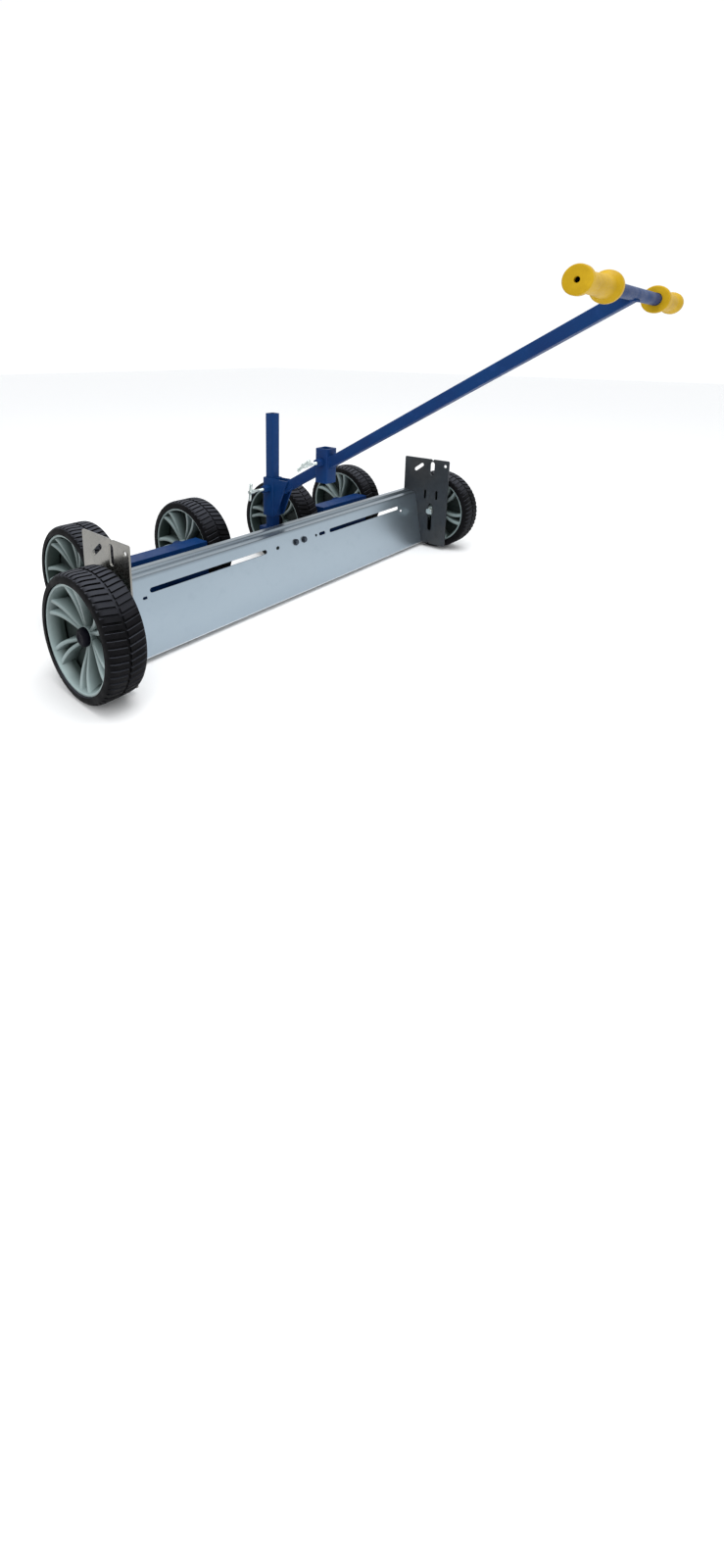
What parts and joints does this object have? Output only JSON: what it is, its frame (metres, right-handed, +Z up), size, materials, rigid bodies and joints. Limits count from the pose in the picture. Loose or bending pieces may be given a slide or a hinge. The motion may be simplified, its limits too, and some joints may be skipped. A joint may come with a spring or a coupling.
{
  "type": "magnetic nail sweeper",
  "caption": "Push-along magnetic nail sweeper: a wide magnet bar under a polished hood on two wheels, smaller magnet boxes on wheels behind it, and a sliding T-handle with waisted grips.",
  "frame": {"origin": "on the ground, under the middle of the space the sweeper takes up", "axes": "+X along the bar to the operator's left when pushing from the handle side, +Y from the handle towards the rear wheels, +Z up"},
  "size_m": [1.368, 1.1296, 0.7672],
  "materials": {
    "blue_paint": "royal blue powder coat, semi-gloss, lightly textured",
    "hood_steel": "polished sheet with a soft, slightly wavy reflection",
    "plate_steel": "mill-finish steel plate, dull, with scuffs",
    "zinc": "bright zinc plate",
    "tyre": "black rubber with a block tread",
    "rim": "grey-green silver moulded plastic",
    "cap": "black moulded plastic",
    "grip": "yellow moulded vinyl, satin",
    "magnet": "dark grey ceramic",
    "channel": "plain extruded aluminium"
  },
  "bodies": {
    "chassis": {"front_hood": "hood_steel", "end_plate_left": "plate_steel", "end_plate_right": "plate_steel", "front_magnet_channel": "channel", "front_magnet_bar": "magnet", "cross_tube": "blue_paint", "mast_foot": "blue_paint", "mast": "blue_paint", "hood_bolt_left": "zinc", "hood_bolt_right": "zinc", "rear_left_magnet_box": "blue_paint", "rear_left_magnet_bar": "magnet", "rear_left_arm_inner": "blue_paint", "rear_left_arm_outer": "blue_paint", "rear_left_axle": "zinc", "rear_left_link": "blue_paint", "rear_right_magnet_box": "blue_paint", "rear_right_magnet_bar": "magnet", "rear_right_arm_inner": "blue_paint", "rear_right_arm_outer": "blue_paint", "rear_right_axle": "zinc", "rear_right_link": "blue_paint"},
    "front_left_wheel": {"front_left_tyre": "tyre", "front_left_rim": "rim", "front_left_cap": "cap"},
    "front_right_wheel": {"front_right_tyre": "tyre", "front_right_rim": "rim", "front_right_cap": "cap"},
    "rear_1_wheel": {"rear_1_tyre": "tyre", "rear_1_rim": "rim", "rear_1_cap": "cap"},
    "rear_2_wheel": {"rear_2_tyre": "tyre", "rear_2_rim": "rim", "rear_2_cap": "cap"},
    "rear_3_wheel": {"rear_3_tyre": "tyre", "rear_3_rim": "rim", "rear_3_cap": "cap"},
    "rear_4_wheel": {"rear_4_tyre": "tyre", "rear_4_rim": "rim", "rear_4_cap": "cap"},
    "front_left_axle": {"front_axle_left": "zinc"},
    "front_right_axle": {"front_axle_right": "zinc"},
    "sleeve_screw": {"sleeve_clamp_screw": "zinc"},
    "collar_screw": {"collar_clamp_screw": "zinc"},
    "handle": {"slide_sleeve": "blue_paint", "spare_collar": "blue_paint", "handle_lower_tube": "blue_paint", "handle_tube": "blue_paint", "gusset_left": "blue_paint", "gusset_right": "blue_paint", "t_bar": "blue_paint", "grip_left": "grip", "grip_right": "grip", "sleeve_clamp_nut": "blue_paint", "collar_clamp_nut": "blue_paint"}
  },
  "joints": [
    {"name": "front_left_height", "type": "slide", "parent": "chassis", "child": "front_left_axle", "axis": [0, 0, 1], "range_m": [-0.05, 0.012]},
    {"name": "front_right_height", "type": "slide", "parent": "chassis", "child": "front_right_axle", "axis": [0, 0, 1], "range_m": [-0.05, 0.012]},
    {"name": "front_left_spin", "type": "hinge", "parent": "front_left_axle", "child": "front_left_wheel", "pos_m": [-0.644, 0.14775, 0.127], "axis": [1, 0, 0], "continuous": true},
    {"name": "front_right_spin", "type": "hinge", "parent": "front_right_axle", "child": "front_right_wheel", "pos_m": [0.644, 0.14775, 0.127], "axis": [1, 0, 0], "continuous": true},
    {"name": "rear_1_spin", "type": "hinge", "parent": "chassis", "child": "rear_1_wheel", "pos_m": [-0.504, 0.43775, 0.127], "axis": [1, 0, 0], "continuous": true},
    {"name": "rear_2_spin", "type": "hinge", "parent": "chassis", "child": "rear_2_wheel", "pos_m": [-0.178, 0.43775, 0.127], "axis": [1, 0, 0], "continuous": true},
    {"name": "rear_3_spin", "type": "hinge", "parent": "chassis", "child": "rear_3_wheel", "pos_m": [0.178, 0.43775, 0.127], "axis": [1, 0, 0], "continuous": true},
    {"name": "rear_4_spin", "type": "hinge", "parent": "chassis", "child": "rear_4_wheel", "pos_m": [0.504, 0.43775, 0.127], "axis": [1, 0, 0], "continuous": true},
    {"name": "handle_height", "type": "slide", "parent": "chassis", "child": "handle", "axis": [0, 0, 1], "range_m": [-0.03, 0.15]},
    {"name": "sleeve_screw_turn", "type": "hinge", "parent": "handle", "child": "sleeve_screw", "pos_m": [-0.05, 0.30325, 0.28], "axis": [-1, 0, 0], "range_deg": [0, 720]},
    {"name": "collar_screw_turn", "type": "hinge", "parent": "handle", "child": "collar_screw", "pos_m": [-0.05, 0.11625, 0.376], "axis": [-1, 0, 0], "range_deg": [0, 720]}
  ]
}
